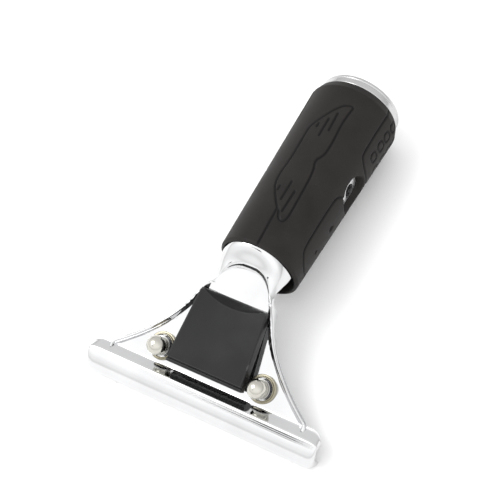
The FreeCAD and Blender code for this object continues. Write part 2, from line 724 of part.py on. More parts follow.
def build_release_pad():
    """Moulded pad: hollow, hinged near the rear, with a boss that pushes the lower jaw down."""
    wall = size("pad_wall")
    front, back = size("pad_front"), size("pivot_along") + size("ear_half") + 0.6
    hollow = pad_plan(wall + 1.2, -1, 12).common(side_slab([
        (front, -1), (front, pad_top(front) - wall - size("step_drop")),
        (front + 3, pad_top(front + 3) - wall),
        (back, pad_top(back) - wall), (back, -1)]))
    pad = pad_outside().cut(hollow).cut(rim_clearance())
    for _, side in SIDES:
        middle = side * size("rib_across")
        rib = box((middle - 0.8, size("pivot_along") - 2.4, size("pad_rear_gap")),
                  (middle + 0.8, size("pivot_along") + size("ear_half") + 0.8, size("pad_rear_top")))
        pad = pad.fuse(rib)
    tip = -size("jaw_top") + size("contact_gap")
    radius, along = size("boss_radius"), size("boss_along")
    boss = post(radius, tip + radius, size("pad_front_top") - wall, 0, along)
    ball = Part.makeSphere(radius, Vector(0, along, tip + radius))
    pad = pad.fuse([boss, ball])
    bore = Part.makeCylinder(size("pivot_radius") + size("running_gap"), 2 * size("clip_across"),
                             Vector(-size("clip_across"), size("pivot_along"), size("pivot_up")),
                             Vector(1, 0, 0))
    pad = pad.cut(bore)
    for relief in stud_posts(size("cup_flange_radius") + 0.35, -1, size("cup_collar_top") + 3.2):
        pad = pad.cut(relief)
    shaped("release_pad", pad, head_place())


def build_pivot():
    """Ears welded on the plate, the pin through them and its two clips."""
    pin_radius, along, up = size("pivot_radius"), size("pivot_along"), size("pivot_up")
    half = size("pivot_half")
    sideways = Vector(1, 0, 0)
    pin = Part.makeCylinder(pin_radius, 2 * half, Vector(-half, along, up), sideways)
    shaped("pad_pivot_pin", pin, head_place())
    for name, side in SIDES:
        middle = side * size("ear_across")
        reach = size("ear_half")
        ear = box((middle - size("ear_thick") / 2, along - reach, 0),
                  (middle + size("ear_thick") / 2, along + reach, size("ear_top")))
        shaped("pivot_ear_" + name, ear.cut(pin), head_place())
        inner = size("clip_across") if side > 0 else -size("clip_across") - size("clip_thick")
        clip = Part.makeCylinder(size("clip_radius"), size("clip_thick"), Vector(inner, along, up), sideways)
        shaped("pin_clip_" + name, clip.cut(pin), head_place())


def check_and_write():
    """Recomputes, checks every object and writes one STEP file for each node."""
    doc.recompute()
    for thing in doc.Objects:
        if "Invalid" in thing.State or "Error" in thing.State:
            raise RuntimeError("%s did not compute" % thing.Name)
    os.makedirs("parts", exist_ok=True)
    for thing in finished:
        shape = thing.Shape
        if shape.isNull() or not shape.isValid() or shape.Volume <= 0:
            raise RuntimeError("%s has no valid solid" % thing.Label)
        shape.exportStep("parts/%s.step" % thing.Label)


build_socket_tube()
build_socket_liner()
build_liner_plug()
build_end_ring()
build_rubber_grip()
build_upper_jaw()
build_lower_jaw()
build_tooth_strip()
build_tooth_rivets()
for side_name, side_sign in SIDES:
    build_clamp_set(side_name, side_sign)
build_release_pad()
build_pivot()
check_and_write()
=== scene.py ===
import json
import math

import bmesh
import bpy
import numpy as np
from mathutils import Matrix, Vector


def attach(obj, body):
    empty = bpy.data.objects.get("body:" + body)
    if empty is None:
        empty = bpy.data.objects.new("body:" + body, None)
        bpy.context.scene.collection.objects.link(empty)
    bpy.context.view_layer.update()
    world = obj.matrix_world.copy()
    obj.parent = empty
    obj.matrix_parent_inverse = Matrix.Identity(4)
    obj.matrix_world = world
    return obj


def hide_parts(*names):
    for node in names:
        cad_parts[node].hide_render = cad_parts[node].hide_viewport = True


# Looks of the quick-release squeegee handle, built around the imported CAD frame.
# Lengths in the shape functions are millimetres; meshes are written in metres.
# Row frame: grip along +Y, +Z up, origin in the tail's socket mouth.
# Head frame: origin on the crease between plate and lip, +Y up the plate, +Z out of it.

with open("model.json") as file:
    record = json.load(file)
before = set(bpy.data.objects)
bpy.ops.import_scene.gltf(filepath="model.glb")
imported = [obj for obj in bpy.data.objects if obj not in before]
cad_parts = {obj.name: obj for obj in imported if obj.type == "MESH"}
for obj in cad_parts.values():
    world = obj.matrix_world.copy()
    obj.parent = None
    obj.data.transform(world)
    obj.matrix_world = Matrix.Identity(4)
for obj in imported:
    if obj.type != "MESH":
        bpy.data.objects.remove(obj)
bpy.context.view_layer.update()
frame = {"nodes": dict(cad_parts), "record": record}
MM = 0.001

HEAD_TILT = math.radians(30.0)
CREASE = (0.0, -133.0, -17.0)
MOUTH = -88.0
SIDES = (("left", -1), ("right", 1))


# ---------------------------------------------------------------- mesh helpers


def smooth_step(low, high, value):
    """0 below low, 1 above high, smooth in between; works on numbers and arrays."""
    part = np.clip((np.asarray(value, float) - low) / (high - low), 0.0, 1.0)
    return part * part * (3 - 2 * part)


def head_to_row(points):
    """Head frame points to row frame points, both in millimetres."""
    points = np.asarray(points, float)
    lean, rise = math.cos(HEAD_TILT), math.sin(HEAD_TILT)
    out = np.empty_like(points)
    out[..., 0] = points[..., 0] + CREASE[0]
    out[..., 1] = CREASE[1] + points[..., 1] * lean - points[..., 2] * rise
    out[..., 2] = CREASE[2] + points[..., 1] * rise + points[..., 2] * lean
    return out


def grid_quads(rows, columns, first=0, wrap_rows=False, wrap_columns=False):
    """Quads of a rows x columns grid of points numbered row by row."""
    row = np.arange(rows if wrap_rows else rows - 1)
    column = np.arange(columns if wrap_columns else columns - 1)
    r, c = np.meshgrid(row, column, indexing="ij")
    r2, c2 = (r + 1) % rows, (c + 1) % columns
    quads = np.stack([r * columns + c, r * columns + c2, r2 * columns + c2, r2 * columns + c], -1)
    return quads.reshape(-1, 4) + first


def make_object(name, points, faces, sharp_degrees=None):
    """Mesh object from millimetre points, with smooth shading and outward faces."""
    mesh = bpy.data.meshes.new(name)
    corners = (np.asarray(points).reshape(-1, 3) * MM).tolist()
    mesh.from_pydata(corners, [], [list(map(int, f)) for f in faces])
    mesh.validate()
    mesh.update()
    thing = bpy.data.objects.new(name, mesh)
    bpy.context.scene.collection.objects.link(thing)
    tidy_mesh(thing)
    mesh.shade_smooth()
    if sharp_degrees is not None:
        mesh.set_sharp_from_angle(angle=math.radians(sharp_degrees))
    return thing


def tidy_mesh(thing):
    """Merges doubled points, drops empty faces and turns the faces outwards."""
    work = bmesh.new()
    work.from_mesh(thing.data)
    bmesh.ops.remove_doubles(work, verts=work.verts, dist=2e-6)
    bmesh.ops.dissolve_degenerate(work, edges=work.edges, dist=1e-6)
    bmesh.ops.recalc_face_normals(work, faces=work.faces)
    work.to_mesh(thing.data)
    work.free()


def apply_modifiers(thing):
    """Bakes the modifiers of an object into its mesh."""
    graph = bpy.context.evaluated_depsgraph_get()
    graph.update()
    result = bpy.data.meshes.new_from_object(thing.evaluated_get(graph))
    old = thing.data
    thing.modifiers.clear()
    thing.data = result
    bpy.data.meshes.remove(old)


def join(name, things):
    """One object out of several meshes."""
    bpy.ops.object.select_all(action="DESELECT")
    for thing in things:
        thing.select_set(True)
    bpy.context.view_layer.objects.active = things[0]
    bpy.ops.object.join()
    things[0].name = name
    things[0].data.name = name
    return things[0]


def rounded(corners, steps=5):
    """Polyline through (a, b, radius) corners with each corner rounded."""
    count = len(corners)
    line = []
    for place, (a, b, radius) in enumerate(corners):
        here = np.array([a, b])
        back = np.array(corners[place - 1][:2]) - here
        ahead = np.array(corners[(place + 1) % count][:2]) - here
        if radius <= 0:
            line.append(here)
            continue
        reach = min(radius, 0.49 * np.linalg.norm(back), 0.49 * np.linalg.norm(ahead))
        start = here + back / np.linalg.norm(back) * reach
        stop = here + ahead / np.linalg.norm(ahead) * reach
        for step in range(steps + 1):
            t = step / steps
            line.append(start * (1 - t) ** 2 + here * 2 * t * (1 - t) + stop * t * t)
    return np.array(line)


def lathe(profile, steps=96, closed=True):
    """Points and faces of a (radius, height) profile turned about the local Z axis."""
    turn = np.linspace(0, 2 * math.pi, steps, endpoint=False)
    radius, height = profile[:, 0], profile[:, 1]
    points = np.stack([np.outer(radius, np.cos(turn)), np.outer(radius, np.sin(turn)),
                       np.repeat(height[:, None], steps, 1)], -1)
    return points, grid_quads(len(profile), steps, wrap_rows=closed, wrap_columns=True)


# ---------------------------------------------------------------- materials


class Paint:
    """A small helper around one node material."""

    def __init__(self, name, colour, metallic, roughness):
        self.material = bpy.data.materials.new(name)
        self.material.use_nodes = True
        self.nodes = self.material.node_tree.nodes
        self.links = self.material.node_tree.links
        self.shader = self.nodes["Principled BSDF"]
        self.shader.inputs["Base Color"].default_value = (*colour, 1)
        self.shader.inputs["Metallic"].default_value = metallic
        self.shader.inputs["Roughness"].default_value = roughness
        self.place = self.nodes.new("ShaderNodeTexCoord").outputs["Object"]

    def stretched(self, scale):
        """Object coordinates scaled along each axis."""
        mapping = self.nodes.new("ShaderNodeMapping")
        mapping.inputs["Scale"].default_value = scale
        self.links.new(self.place, mapping.inputs["Vector"])
        return mapping.outputs["Vector"]

    def noise(self, scale, detail=4.0, vector=None, rough=0.55):
        """Noise pattern; scale counts features per metre."""
        node = self.nodes.new("ShaderNodeTexNoise")
        node.inputs["Scale"].default_value = scale
        node.inputs["Detail"].default_value = detail
        node.inputs["Roughness"].default_value = rough
        self.links.new(vector or self.place, node.inputs["Vector"])
        return node.outputs["Fac"]

    def spread(self, factor, low, high, start=0.3, stop=0.7):
        """Maps a pattern from start..stop to low..high."""
        node = self.nodes.new("ShaderNodeMapRange")
        node.inputs["From Min"].default_value = start
        node.inputs["From Max"].default_value = stop
        node.inputs["To Min"].default_value = low
        node.inputs["To Max"].default_value = high
        self.links.new(factor, node.inputs["Value"])
        return node.outputs["Result"]

    def colours(self, factor, first, second):
        """Mix of two colours by a pattern."""
        node = self.nodes.new("ShaderNodeMix")
        node.data_type = "RGBA"
        self.links.new(factor, node.inputs["Factor"])
        for socket, colour in (("A", first), ("B", second)):
            target = [s for s in node.inputs if s.name == socket and s.type == "RGBA"][0]
            if isinstance(colour, tuple):
                target.default_value = (*colour, 1)
            else:
                self.links.new(colour, target)
        return [s for s in node.outputs if s.type == "RGBA"][0]

    def attribute(self, name):
        """A value stored on the mesh's points."""
        node = self.nodes.new("ShaderNodeAttribute")
        node.attribute_name = name
        return node.outputs["Fac"]

    def edges(self, strength=1.0):
        """Pattern that is high on sharp outward edges, where a highlight is painted."""
        node = self.nodes.new("ShaderNodeNewGeometry")
        return self.spread(node.outputs["Pointiness"], 0.0, strength, 0.505, 0.56)

    def sum(self, first, second, weight=1.0):
        """First pattern plus weight times the second."""
        node = self.nodes.new("ShaderNodeMath")
        node.operation = "MULTIPLY_ADD"
        self.links.new(second, node.inputs[0])
        node.inputs[1].default_value = weight
        self.links.new(first, node.inputs[2])
        return node.outputs["Value"]

    def to(self, socket, value):
        """Links a pattern to a shader socket."""
        self.links.new(value, self.shader.inputs[socket])
        return self

    def bump(self, height, distance, strength=1.0):
        """Fine relief from a pattern; distance in metres."""
        node = self.nodes.new("ShaderNodeBump")
        node.inputs["Distance"].default_value = distance
        node.inputs["Strength"].default_value = strength
        self.links.new(height, node.inputs["Height"])
        self.links.new(node.outputs["Normal"], self.shader.inputs["Normal"])
        return self


def metal(name, light, dark, rough_low, rough_high, grain, grain_scale, bump):
    """Metal with cloudy tone, varied polish and a grain drawn out along the axes of small scale."""
    paint = Paint(name, light, 1.0, (rough_low + rough_high) / 2)
    cloud = paint.noise(55, 3)
    streaks = paint.noise(grain_scale, 5, paint.stretched(grain))
    paint.to("Base Color", paint.colours(paint.spread(cloud, 0, 1), dark, light))
    paint.to("Roughness", paint.spread(paint.sum(streaks, cloud, 0.6), rough_low, rough_high, 0.45, 1.15))
    paint.bump(streaks, bump)
    return paint


def make_materials():
    """Every finish of the object, by the record's slot names."""
    paints = {
        "polished_stainless": metal("polished_stainless", (0.66, 0.662, 0.668), (0.61, 0.612, 0.618),
                                    0.04, 0.11, (0.08, 1, 1), 1300, 0.000003),
        "satin_stainless": metal("satin_stainless", (0.66, 0.66, 0.67), (0.56, 0.56, 0.57),
                                 0.24, 0.40, (0.1, 1, 1), 1600, 0.000008),
        "hardened_steel": metal("hardened_steel", (0.30, 0.30, 0.32), (0.20, 0.20, 0.22),
                                0.30, 0.48, (1, 0.2, 1), 1100, 0.00001),
        "zinc_steel": metal("zinc_steel", (0.50, 0.50, 0.49), (0.38, 0.38, 0.37),
                            0.22, 0.38, (1, 1, 1), 1500, 0.000008),
        "nickel_plate": metal("nickel_plate", (0.60, 0.59, 0.545), (0.46, 0.45, 0.40),
                              0.04, 0.10, (1, 1, 0.2), 1200, 0.000004),
        "passivated_steel": metal("passivated_steel", (0.42, 0.395, 0.31), (0.24, 0.22, 0.16),
                                  0.16, 0.32, (1, 1, 0.3), 1400, 0.000008),
        "spring_steel": metal("spring_steel", (0.52, 0.52, 0.54), (0.36, 0.36, 0.39),
                              0.2, 0.36, (1, 1, 1), 1800, 0.000006),
        "rolled_aluminium": metal("rolled_aluminium", (0.58, 0.58, 0.58), (0.48, 0.48, 0.48),
                                  0.16, 0.3, (0.15, 1, 0.15), 2600, 0.00001),
    }
    paints["black_rubber"] = rubber_paint()
    paints["black_moulding"] = moulding_paint()
    paints["black_nylon"] = nylon_paint()
    return {name: paint.material for name, paint in paints.items()}


def rubber_paint():
    """Warm charcoal rubber: dusty bloom, soot and painted shade in the grooves and pits, fine moulded grain.
    """
    paint = Paint("black_rubber", (0.036, 0.033, 0.031), 0.0, 0.62)
    bloom = paint.noise(70, 5)
    dust = paint.noise(2200, 3)
    clouds = paint.spread(bloom, 0, 1, 0.35, 0.68)
    tone = paint.colours(clouds, (0.0085, 0.0074, 0.0067), (0.0165, 0.0144, 0.0130))
    speck = paint.colours(paint.spread(dust, 0, 0.3, 0.6, 0.8), tone, (0.045, 0.042, 0.04))
    # the groove mark darkens grooves and pits almost to black: partly soot, partly painted shade for the
    # light they lose
    groove = paint.colours(paint.attribute("groove"), speck, (0.002, 0.002, 0.002))
    paint.to("Base Color", groove)
    paint.to("Roughness", paint.spread(bloom, 0.52, 0.68, 0.3, 0.7))
    paint.bump(paint.sum(dust, paint.noise(700, 3), 0.8), 0.00003, 0.5)
    paint.shader.inputs["Specular IOR Level"].default_value = 0.22
    return paint


def moulding_paint():
    """Satin black moulded plastic with a fine spark-eroded grain and a painted highlight along its sharp
    edges.
    """
    paint = Paint("black_moulding", (0.04, 0.04, 0.041), 0.0, 0.42)
    cloud = paint.noise(90, 4)
    grain = paint.noise(3200, 2)
    clouds = paint.spread(cloud, 0, 1, 0.35, 0.65)
    tone = paint.colours(clouds, (0.007, 0.007, 0.0073), (0.010, 0.010, 0.0104))
    # sharp outward edges are painted paler: a painted highlight along them
    edge_highlight_tone = paint.colours(paint.edges(0.6), tone, (0.09, 0.09, 0.092))
    paint.to("Base Color", edge_highlight_tone)
    paint.to("Roughness", paint.spread(paint.sum(cloud, grain, 0.4), 0.36, 0.52, 0.5, 0.9))
    paint.bump(grain, 0.00002, 0.45)
    paint.shader.inputs["Specular IOR Level"].default_value = 0.18
    return paint


def nylon_paint():
    """Dull black nylon with faint machining rings."""
    paint = Paint("black_nylon", (0.025, 0.025, 0.026), 0.0, 0.5)
    rings = paint.noise(900, 3, paint.stretched((0.1, 1, 0.1)))
    tone = paint.colours(paint.spread(rings, 0, 1), (0.02, 0.02, 0.021), (0.035, 0.035, 0.036))
    paint.to("Base Color", tone)
    paint.to("Roughness", paint.spread(paint.noise(300), 0.42, 0.6))
    paint.bump(rings, 0.00001)
    return paint


MATERIALS = make_materials()


def wear(thing, slot):
    """Gives an object one finish on all its material slots."""
    thing.data.materials.clear()
    thing.data.materials.append(MATERIALS[slot])


def finish_piece(thing, slot, body, *nodes):
    """Material, body and the CAD nodes a new piece stands for."""
    wear(thing, slot)
    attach(thing, body)
    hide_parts(*nodes)
    return thing


# ---------------------------------------------------------------- stamped jaw

SHEET = 1.5
REACH = 45.0
NECK_RADIUS = 15.0
NECK_BEGINS = REACH - 11
ROUNDING_BEGINS = REACH - 20
PLATE_FRONT_HALF = 43.0
PLATE_REAR_HALF = 14.6
FLARE_LENGTH = 45.0
FLARE_POWER = 2.2
RIM_RISE = 1.7
RIM_CORNER = 1.9
SKIRT_DROP = 4.2
LEG_DROP = 1.5
RIM_WIDTH = 2.4
ARCH_BEGINS = 26.0
ARCH_LENGTH = 20.0
ARCH_POWER = 2.6
ARCH_BLEND = (33, 41)
ARCH_RAMP = (-0.8, 6.8)
WALL_WIDTH = 0.9
LIP_HALF = 50.0
LIP_TOP = -4.4
LIP_FRONT = -14.0
LIP_REAR = 0.9
LIP_FRONT_CORNER = 3.6
LIP_REAR_CORNER = 5.0
LIP_SOFT_CORNER = 1.2
ROLL_CENTRE = -4.0
ROLL_RISE = 6.93
LIP_HEM = -6.4
LIP_LINES = ((-4.9, 0.16), (-5.5, 0.12))
LIP_LINE_DEPTH = 0.07
PIP_PLACES = (-37.0, -15.0, 19.0, 41.0)
PIP_HEIGHT = -5.3
PIP_RADIUS = 1.3
PIP_RISE = 0.55
LEG_LINE = ((30.4, 30.5, 32.0, 36.0, 40.0), (-40.0, -6.0, 0.6, 2.2, 3.0))


def flare_half(along):
    """Half width of the plate at a distance up the plate."""
    rest = np.clip(1 - np.asarray(along, float) / FLARE_LENGTH, 0.0, 1.0)
    return PLATE_REAR_HALF + (PLATE_FRONT_HALF - PLATE_REAR_HALF) * rest ** FLARE_POWER


def section_outline(along, share, steps=400):
    """Half outline (x, z) of the stamping's upright section, from the middle to the trimmed lower edge."""
    slope, lean = math.tan(HEAD_TILT), math.cos(HEAD_TILT)
    plate = along * slope + CREASE[2]
    to_neck = float(smooth_step(NECK_BEGINS, REACH, along))
    half = float(flare_half(along / lean)) * (1 - to_neck) + NECK_RADIUS * to_neck
    top = (plate + RIM_RISE / lean) * (1 - to_neck) + NECK_RADIUS * to_neck
    bottom = (plate - SKIRT_DROP / lean) * (1 - to_neck) - LEG_DROP * to_neck
    rounding = float(smooth_step(ROUNDING_BEGINS, REACH, along))
    corner = RIM_CORNER * (1 - rounding) + (half - 0.4) * rounding
    corner_up = corner * (1 - rounding) + NECK_RADIUS * rounding
    turn = np.linspace(0, math.pi / 2, steps)
    x = np.concatenate([np.linspace(0, half - corner, steps)[:-1], half - corner + corner * np.sin(turn),
                        np.full(40, half)])
    z = np.concatenate([np.full(steps - 1, top), top - corner_up + corner_up * np.cos(turn),
                        np.linspace(top - corner_up, min(bottom, top - corner_up - 0.02), 41)[1:]])
    length = np.concatenate([[0], np.cumsum(np.hypot(np.diff(x), np.diff(z)))])
    edge = max(bottom, float(np.interp(along, *LEG_LINE)))
    trimmed = np.interp(-edge, -z, length)
    places = share * trimmed
    return np.interp(places, length, x), np.interp(places, length, z), plate


def recess_share(x, along):
    """0 on the flat plate, 1 outside its outline, with a soft wall between them."""
    up_plate = along / math.cos(HEAD_TILT)
    half = flare_half(up_plate) - RIM_WIDTH
    into = np.clip((up_plate - ARCH_BEGINS) / ARCH_LENGTH, 0, None)
    level = (np.abs(x) / half) ** ARCH_POWER + into ** ARCH_POWER - 1
    slope_x = ARCH_POWER * np.abs(x) ** (ARCH_POWER - 1) / half ** ARCH_POWER
    slope_y = ARCH_POWER * into ** (ARCH_POWER - 1) / ARCH_LENGTH + 1e-9
    flare_slope = (flare_half(up_plate + 0.1) - flare_half(up_plate - 0.1)) / 0.2
    slope_y = slope_y - slope_x * np.abs(x) / half * flare_slope
    outside = level / np.hypot(slope_x, slope_y + 1e-9)
    arch = float(smooth_step(*ARCH_BLEND, along))
    step = smooth_step(0.0, WALL_WIDTH, outside)
    ramp = smooth_step(*ARCH_RAMP, outside)
    return step * (1 - 0.8 * arch) + ramp * 0.9 * arch


def stamping_surface():
    """Outer skin of neck, plate, rims and skirts as a grid of row frame points."""
    rows = np.concatenate([np.arange(-2.0, 30.0, 0.6), np.arange(30.0, 46.0, 0.25),
                           np.arange(46.0, 55.01, 0.9)])
    share = np.concatenate([np.linspace(0, 0.72, 46)[:-1], np.linspace(0.72, 1, 68)])
    grid = []
    for along in rows:
        on_plate = max(along, 0.0)
        x, z, plate = section_outline(on_plate, share)
        drop = (along - on_plate) * math.tan(HEAD_TILT)
        mix = recess_share(x, on_plate)
        z = np.where(z > plate, plate + (z - plate) * mix, z) + drop
        right = np.stack([x, np.full_like(x, along + CREASE[1]), z], -1)
        left = right[:0:-1] * np.array([-1, 1, 1])
        grid.append(np.concatenate([left, right]))
    return np.array(grid)


def lip_profile():
    """(y, z) line of the lip in the head frame, from the plate over the crest to the hem."""
    foot = [(LIP_REAR, -0.03), (0.5, 0.01), (0.1, 0.09), (-0.35, 0.33)]
    crest = [(-1.2, 1.0), (-2.2, 1.8), (-3.0, 2.44), (-3.4, 2.72), (-3.8, 2.88), (-4.15, 2.93)]
    turn = np.linspace(0, math.pi / 2, 40)
    roll = [(LIP_TOP + (LIP_FRONT - LIP_TOP) * math.sin(t), ROLL_CENTRE + ROLL_RISE * math.cos(t))
            for t in turn]
    hem = [(LIP_FRONT, z) for z in np.linspace(ROLL_CENTRE, LIP_HEM, 7)[1:]]
    line = np.array(foot + crest + roll + hem)
    length = np.concatenate([[0], np.cumsum(np.hypot(*np.diff(line, axis=0).T))])
    share = np.linspace(0, length[-1], 96)
    return np.stack([np.interp(share, length, line[:, 0]), np.interp(share, length, line[:, 1])], -1)


def corner_share(x, radius, reach):
    """How much of a depth is left beside a rounded corner of the lip's plan."""
    past = np.clip(abs(x) - (LIP_HALF - radius), 0, radius)
    return 1 - (radius - math.sqrt(radius ** 2 - past ** 2)) / reach


def lip_section(profile, x):
    """The lip's line at one place along it, drawn in where the corners are rounded."""
    y, z = profile[:, 0].copy(), profile[:, 1].copy()
    front = y < LIP_TOP
    y[front] = LIP_TOP + (y[front] - LIP_TOP) * corner_share(x, LIP_FRONT_CORNER, LIP_TOP - LIP_FRONT)
    y[~front] = LIP_TOP + (y[~front] - LIP_TOP) * corner_share(x, LIP_REAR_CORNER, LIP_REAR - LIP_TOP)
    upper = z > ROLL_CENTRE
    z[upper] = ROLL_CENTRE + (z[upper] - ROLL_CENTRE) * corner_share(x, LIP_SOFT_CORNER, 9.0)
    return y, z


def lip_surface():
    """Outer skin of the rolled lip with its rounded corners, in the row frame."""
    profile = lip_profile()
    for place, width in LIP_LINES:
        profile[:, 1] -= LIP_LINE_DEPTH * np.exp(-((profile[:, 0] - place) / width) ** 2)
    straight = LIP_HALF - LIP_REAR_CORNER
    corner = straight + LIP_REAR_CORNER * np.sin(np.linspace(0, math.pi / 2, 18))
    places = np.concatenate([-corner[::-1], np.linspace(-straight, straight, 181)[1:-1], corner])
    grid = []
    for x in places:
        y, z = lip_section(profile, x)
        grid.append(np.stack([np.full_like(y, x), y, z], -1))
    return head_to_row(hem_bumps(np.array(grid)))


def hem_bumps(grid):
    """Four small stamped pips on the lip's lower edge."""
    for middle in PIP_PLACES:
        near = np.hypot(grid[..., 0] - middle, (grid[..., 2] - PIP_HEIGHT) * 0.9)
        lift = PIP_RISE * np.clip(1 - near / PIP_RADIUS, 0, 1) ** 1.3
        on_hem = grid[..., 1] < LIP_FRONT + 1.4
        grid[..., 1] -= np.where(on_hem, lift, 0)
    return grid


def build_jaw():
    """Stamping and lip with the thickness of the sheet."""
    things = []
    for name, grid in (("stamping", stamping_surface()), ("lip", lip_surface())):
        rows, columns = grid.shape[:2]
        thing = make_object(name, grid, grid_quads(rows, columns))
        if grid_faces_down(thing):
            thing.data.flip_normals()
        thicken = thing.modifiers.new("sheet", "SOLIDIFY")
        thicken.thickness = SHEET * MM
        thicken.offset = -1.0
        thicken.use_even_offset = False
        apply_modifiers(thing)
        things.append(thing)
    jaw = join("jaw_stamping", things)
    jaw.data.shade_smooth()
    jaw.data.set_sharp_from_angle(angle=math.radians(50))
    return finish_piece(jaw, "polished_stainless", "handle", "upper_jaw")


def grid_faces_down(thing):
    """True when most of a skin's area faces away from the plate's upper side."""
    up = Vector((0, -math.sin(HEAD_TILT), math.cos(HEAD_TILT)))
    return sum(face.area * face.normal.dot(up) for face in thing.data.polygons) < 0


# ---------------------------------------------------------------- rubber grip

GRIP_TAIL = -5.0
TUBE_RADIUS = 15.2
WINDOW_Y = -42.5
GROOVE_HALF = 0.6
GROOVE_DEPTH = 0.45
PIT_DEPTH = 0.7
LOOP_TURN = 6
LOOP_HALF = 1.9
DRAWN_RADIUS = 18.0
WINDOW_RADIUS = 7.0
WINDOW_HALF_RUN = 1.0
WINDOW_ROUNDING = 0.8
WINDOW_SINK = 0.45
MOUTH_ROUNDING = 1.3


def grip_radius(y):
    """Outside radius of the sleeve at a row frame y."""
    return np.interp(y, [MOUTH, -8.6, GRIP_TAIL], [16.6, 19.2, 17.9])


def segments(points, closed=False):
    """Pairs of neighbouring (degrees, y) points of a line on the sleeve."""
    points = [np.array(p, float) for p in points]
    pairs = list(zip(points[:-1], points[1:]))
    if closed:
        pairs.append((points[-1], points[0]))
    return pairs


def softened(points, closed=False, turns=2):
    """Corner-cutting of a line of (degrees, y) points."""
    points = [np.array(p, float) for p in points]
    for _ in range(turns):
        fresh = [] if closed else [points[0]]
        count = len(points)
        for place in range(count if closed else count - 1):
            a, b = points[place], points[(place + 1) % count]
            fresh += [a * 0.75 + b * 0.25, a * 0.25 + b * 0.75]
        if not closed:
            fresh.append(points[-1])
        points = fresh
    return points


def top_panel_lines():
    """Outline and strokes moulded on the top of the sleeve; they follow the real ones closely."""
    left = [(1.9, -70.3), (-10, -65.3), (-22.9, -58.5), (-18.7, -45.6), (-20.2, -33.8), (-19.1, -30),
            (-8.9, -24.1), (-1.6, -20.1), (6.6, -16.7)]
    right = [(14.4, -15.8), (17.7, -16.1), (17, -17.4), (15.4, -24.1), (18, -34.1), (18.2, -40.8),
             (11, -44.8), (17.1, -49.2), (19.7, -64.3), (20.7, -73.5), (14.2, -74.7), (8.6, -73.3),
             (4.9, -70.4)]
    lines = segments(softened(left + right, closed=True), closed=True)
    strokes = [[(-2, -24.9), (-1.6, -33.8)], [(4.4, -21.3), (6, -30.1)],
               [(0, -57.2), (0, -66.1)], [(10.2, -60.6), (9.6, -70.6)],
               [(-10.7, -28.2), (-10.7, -30.2)], [(-11.3, -60.4), (-11.3, -62.4)],
               [(5, -87.0), (2, -70.3)]]
    for stroke in strokes:
        lines += segments(stroke)
    return lines


def side_panel_lines():
    """Grooves on each side: tail panel with two rows of loops, lower panel."""
    upper = [(58.5, -5.2), (58.5, -29), (64, -31.2), (73, -32.6), (90, -33.2), (107, -32.6), (116, -31.2),
             (121.5, -29), (121.5, -5.2)]
    lower = [(60.4, -52.6), (65.8, -50.0), (75, -48.4), (90, -48.0), (105, -48.4), (114.2, -50.0),
             (119.6, -52.6), (118.4, -71), (117.3, -76.8), (113, -79.6), (97, -82.4), (83, -82.4),
             (67, -79.6), (62.7, -76.8), (61.6, -71)]
    lines = segments(softened(upper))
    lines += segments(softened(lower, closed=True), closed=True)
    for middle in (78.0, 102.0):
        for y in (-8.9, -14.2, -19.4, -25.3):
            loop = [(middle - LOOP_TURN, y - LOOP_HALF), (middle + LOOP_TURN, y - LOOP_HALF),
                    (middle + LOOP_TURN, y + LOOP_HALF), (middle - LOOP_TURN, y + LOOP_HALF)]
            lines += segments(softened(loop, closed=True, turns=1), closed=True)
    return lines


def groove_share(degrees, y, lines, half_width):
    """1 in the middle of the nearest groove, 0 beyond its half width."""
    px, py = np.radians(degrees) * DRAWN_RADIUS, y
    nearest = np.full(degrees.shape, 1e9)
    for a, b in lines:
        ax, ay = math.radians(a[0]) * DRAWN_RADIUS, a[1]
        bx, by = math.radians(b[0]) * DRAWN_RADIUS, b[1]
        dx, dy = bx - ax, by - ay
        span = max(dx * dx + dy * dy, 1e-9)
        t = np.clip(((px - ax) * dx + (py - ay) * dy) / span, 0, 1)
        nearest = np.minimum(nearest, np.hypot(px - ax - t * dx, py - ay - t * dy))
    return 1 - smooth_step(half_width * 0.35, half_width, nearest)


def dimples(degrees, y):
    """Small round pits on the side panel near the head."""
    share = np.zeros(degrees.shape)
    pits = [(87, -61, 1.4), (87, -73, 0.8), (107, -55, 1.0), (107, -67, 1.0), (107, -79, 0.8)]
    for angle, middle, size in pits:
        away = np.hypot(np.radians(degrees - angle) * DRAWN_RADIUS, (y - middle) * 0.75)
        share = np.maximum(share, 1 - smooth_step(size * 0.45, size, away))
    return share


def window_depth(degrees, y):
    """Distance inside (+) or outside (-) the side window's outline, in millimetres."""
    radius = grip_radius(y)
    across = np.abs(radius * np.cos(np.radians(degrees)))
    run = np.maximum(np.abs(y - WINDOW_Y) - WINDOW_HALF_RUN, 0)
    on_side = np.abs(np.sin(np.radians(degrees))) > 0.3
    return np.where(on_side, WINDOW_RADIUS - np.hypot(across, run), -30.0)


def grip_angles():
    """Columns round the sleeve: dense where there is relief."""
    bands = ((-24, 24, 0.8), (24, 57, 1.65), (57, 123, 0.75), (123, 237, 3.0), (237, 303, 0.75),
             (303, 336, 1.65))
    return np.concatenate([np.arange(*band) for band in bands])


